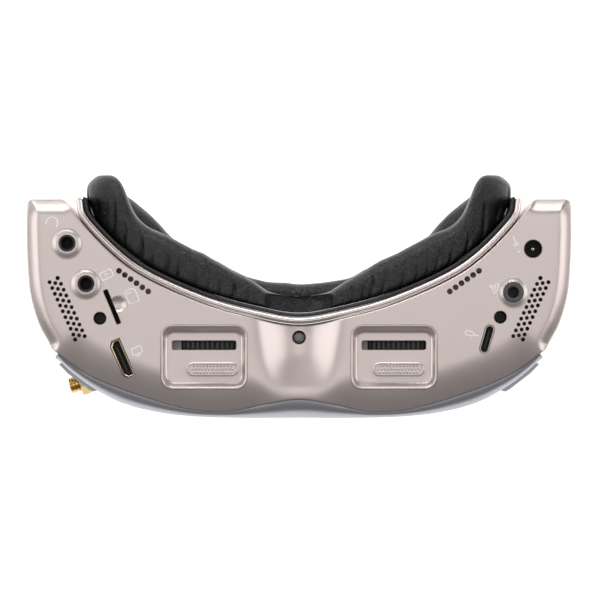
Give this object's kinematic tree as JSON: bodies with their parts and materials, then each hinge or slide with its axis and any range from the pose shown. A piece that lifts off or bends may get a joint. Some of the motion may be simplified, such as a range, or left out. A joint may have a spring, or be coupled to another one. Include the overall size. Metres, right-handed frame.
{
  "type": "fpv goggles",
  "caption": "Video goggles with a curved visor body, leather face foam, sliding and focusing optics, shuttle dials, ports, vents and antenna connectors.",
  "frame": {"origin": "centre of the bounding box at the flat visor top that the goggles lie on", "axes": "+Z from the visor's top to its port side (the goggles' underside when worn), +Y towards the wearer's face, +X towards the wearer's right hand"},
  "size_m": [0.1966, 0.0881, 0.062],
  "materials": {
    "satin_champagne": "satin champagne metallic coat on moulded plastic",
    "satin_silver": "satin silver metallic coat on moulded plastic",
    "black_leather": "soft matt artificial leather over foam",
    "black_fabric": "hook-and-loop tape",
    "gold_plate": "gold plated",
    "circuit_board": "green solder mask",
    "coated_glass": "coated",
    "steel": "brushed",
    "brass_shell": "thin plated shell",
    "grey_plastic": "fine grain",
    "black_plastic": "fine grain"
  },
  "bodies": {
    "housing": {"underside_shell": "satin_champagne", "top_shell": "satin_champagne", "front_cover": "satin_silver", "adjuster_panel_left": "satin_champagne", "adjuster_panel_right": "satin_champagne", "faceplate": "satin_champagne", "foam_flange": "black_fabric", "face_foam": "black_leather", "centre_screw": "black_plastic", "housing_screw_left": "black_plastic", "housing_screw_right": "black_plastic", "strap_bar_left": "steel", "strap_bar_right": "steel", "guide_rod_brow": "steel", "guide_rod_cheek": "steel", "rod_bracket_left": "grey_plastic", "rod_bracket_centre": "grey_plastic", "rod_bracket_right": "grey_plastic", "main_board": "circuit_board", "port_board_left": "circuit_board", "port_board_right": "circuit_board", "video_board": "circuit_board", "control_board_left": "circuit_board", "control_board_right": "circuit_board", "headphone_jack": "black_plastic", "av_jack": "black_plastic", "tracker_jack": "grey_plastic", "dc_socket": "black_plastic", "video_socket": "brass_shell", "usb_socket": "steel", "card_reader": "steel", "receiver_module": "grey_plastic", "bay_cover": "satin_silver", "antenna_port_1": "gold_plate", "antenna_port_2": "gold_plate", "antenna_nut_1": "gold_plate", "antenna_nut_2": "gold_plate", "fan_frame": "black_plastic"},
    "optics_left": {"ipd_carriage_left": "black_plastic", "ipd_knob_left": "grey_plastic", "display_panel_left": "coated_glass", "display_board_left": "circuit_board"},
    "focus_left": {"focus_ring_left": "black_plastic"},
    "eyepiece_left": {"lens_cell_left": "black_plastic", "lens_left": "coated_glass"},
    "optics_right": {"ipd_carriage_right": "black_plastic", "ipd_knob_right": "grey_plastic", "display_panel_right": "coated_glass", "display_board_right": "circuit_board"},
    "focus_right": {"focus_ring_right": "black_plastic"},
    "eyepiece_right": {"lens_cell_right": "black_plastic", "lens_right": "coated_glass"},
    "fan": {"fan_rotor": "grey_plastic"},
    "menu_dial": {"menu_dial": "grey_plastic"},
    "channel_dial": {"channel_dial": "grey_plastic"},
    "power_button": {"power_button": "grey_plastic"},
    "record_button": {"record_button": "grey_plastic"}
  },
  "joints": [
    {"name": "ipd_slide_left", "type": "slide", "parent": "housing", "child": "optics_left", "axis": [1, 0, 0], "range_m": [-0.007, 0.001]},
    {"name": "focus_turn_left", "type": "hinge", "parent": "optics_left", "child": "focus_left", "pos_m": [-0.0312, -0.0176, 0.031], "axis": [0, 1, 0], "range_deg": [-90, 90]},
    {"name": "eyepiece_slide_left", "type": "slide", "parent": "optics_left", "child": "eyepiece_left", "axis": [0, 1, 0], "range_m": [-0.002, 0.002]},
    {"name": "ipd_slide_right", "type": "slide", "parent": "housing", "child": "optics_right", "axis": [1, 0, 0], "range_m": [-0.0057, 0.0023]},
    {"name": "focus_turn_right", "type": "hinge", "parent": "optics_right", "child": "focus_right", "pos_m": [0.0359, -0.0176, 0.031], "axis": [0, 1, 0], "range_deg": [-90, 90]},
    {"name": "eyepiece_slide_right", "type": "slide", "parent": "optics_right", "child": "eyepiece_right", "axis": [0, 1, 0], "range_m": [-0.002, 0.002]},
    {"name": "fan_spin", "type": "hinge", "parent": "housing", "child": "fan", "pos_m": [-0.073, -0.003, 0.027], "axis": [1, 0, 0], "continuous": true},
    {"name": "menu_dial_turn", "type": "hinge", "parent": "housing", "child": "menu_dial", "pos_m": [-0.082, 0.001, 0], "axis": [0, 0, 1], "range_deg": [-20, 20], "stiffness_Nm_per_rad": 0.02},
    {"name": "channel_dial_turn", "type": "hinge", "parent": "housing", "child": "channel_dial", "pos_m": [0.082, 0.001, 0], "axis": [0, 0, 1], "range_deg": [-20, 20], "stiffness_Nm_per_rad": 0.02},
    {"name": "power_button_press", "type": "slide", "parent": "housing", "child": "power_button", "axis": [0, 0, 1], "range_m": [0, 0.0008], "stiffness_N_per_m": 500, "springref_m": -0.0008},
    {"name": "record_button_press", "type": "slide", "parent": "housing", "child": "record_button", "axis": [0, 0, 1], "range_m": [0, 0.0008], "stiffness_N_per_m": 500, "springref_m": -0.0008}
  ],
  "couplings": [
    {"joint": "focus_turn_left", "follows": "eyepiece_slide_left", "rad_per_m": 785},
    {"joint": "focus_turn_right", "follows": "eyepiece_slide_right", "rad_per_m": 785}
  ]
}
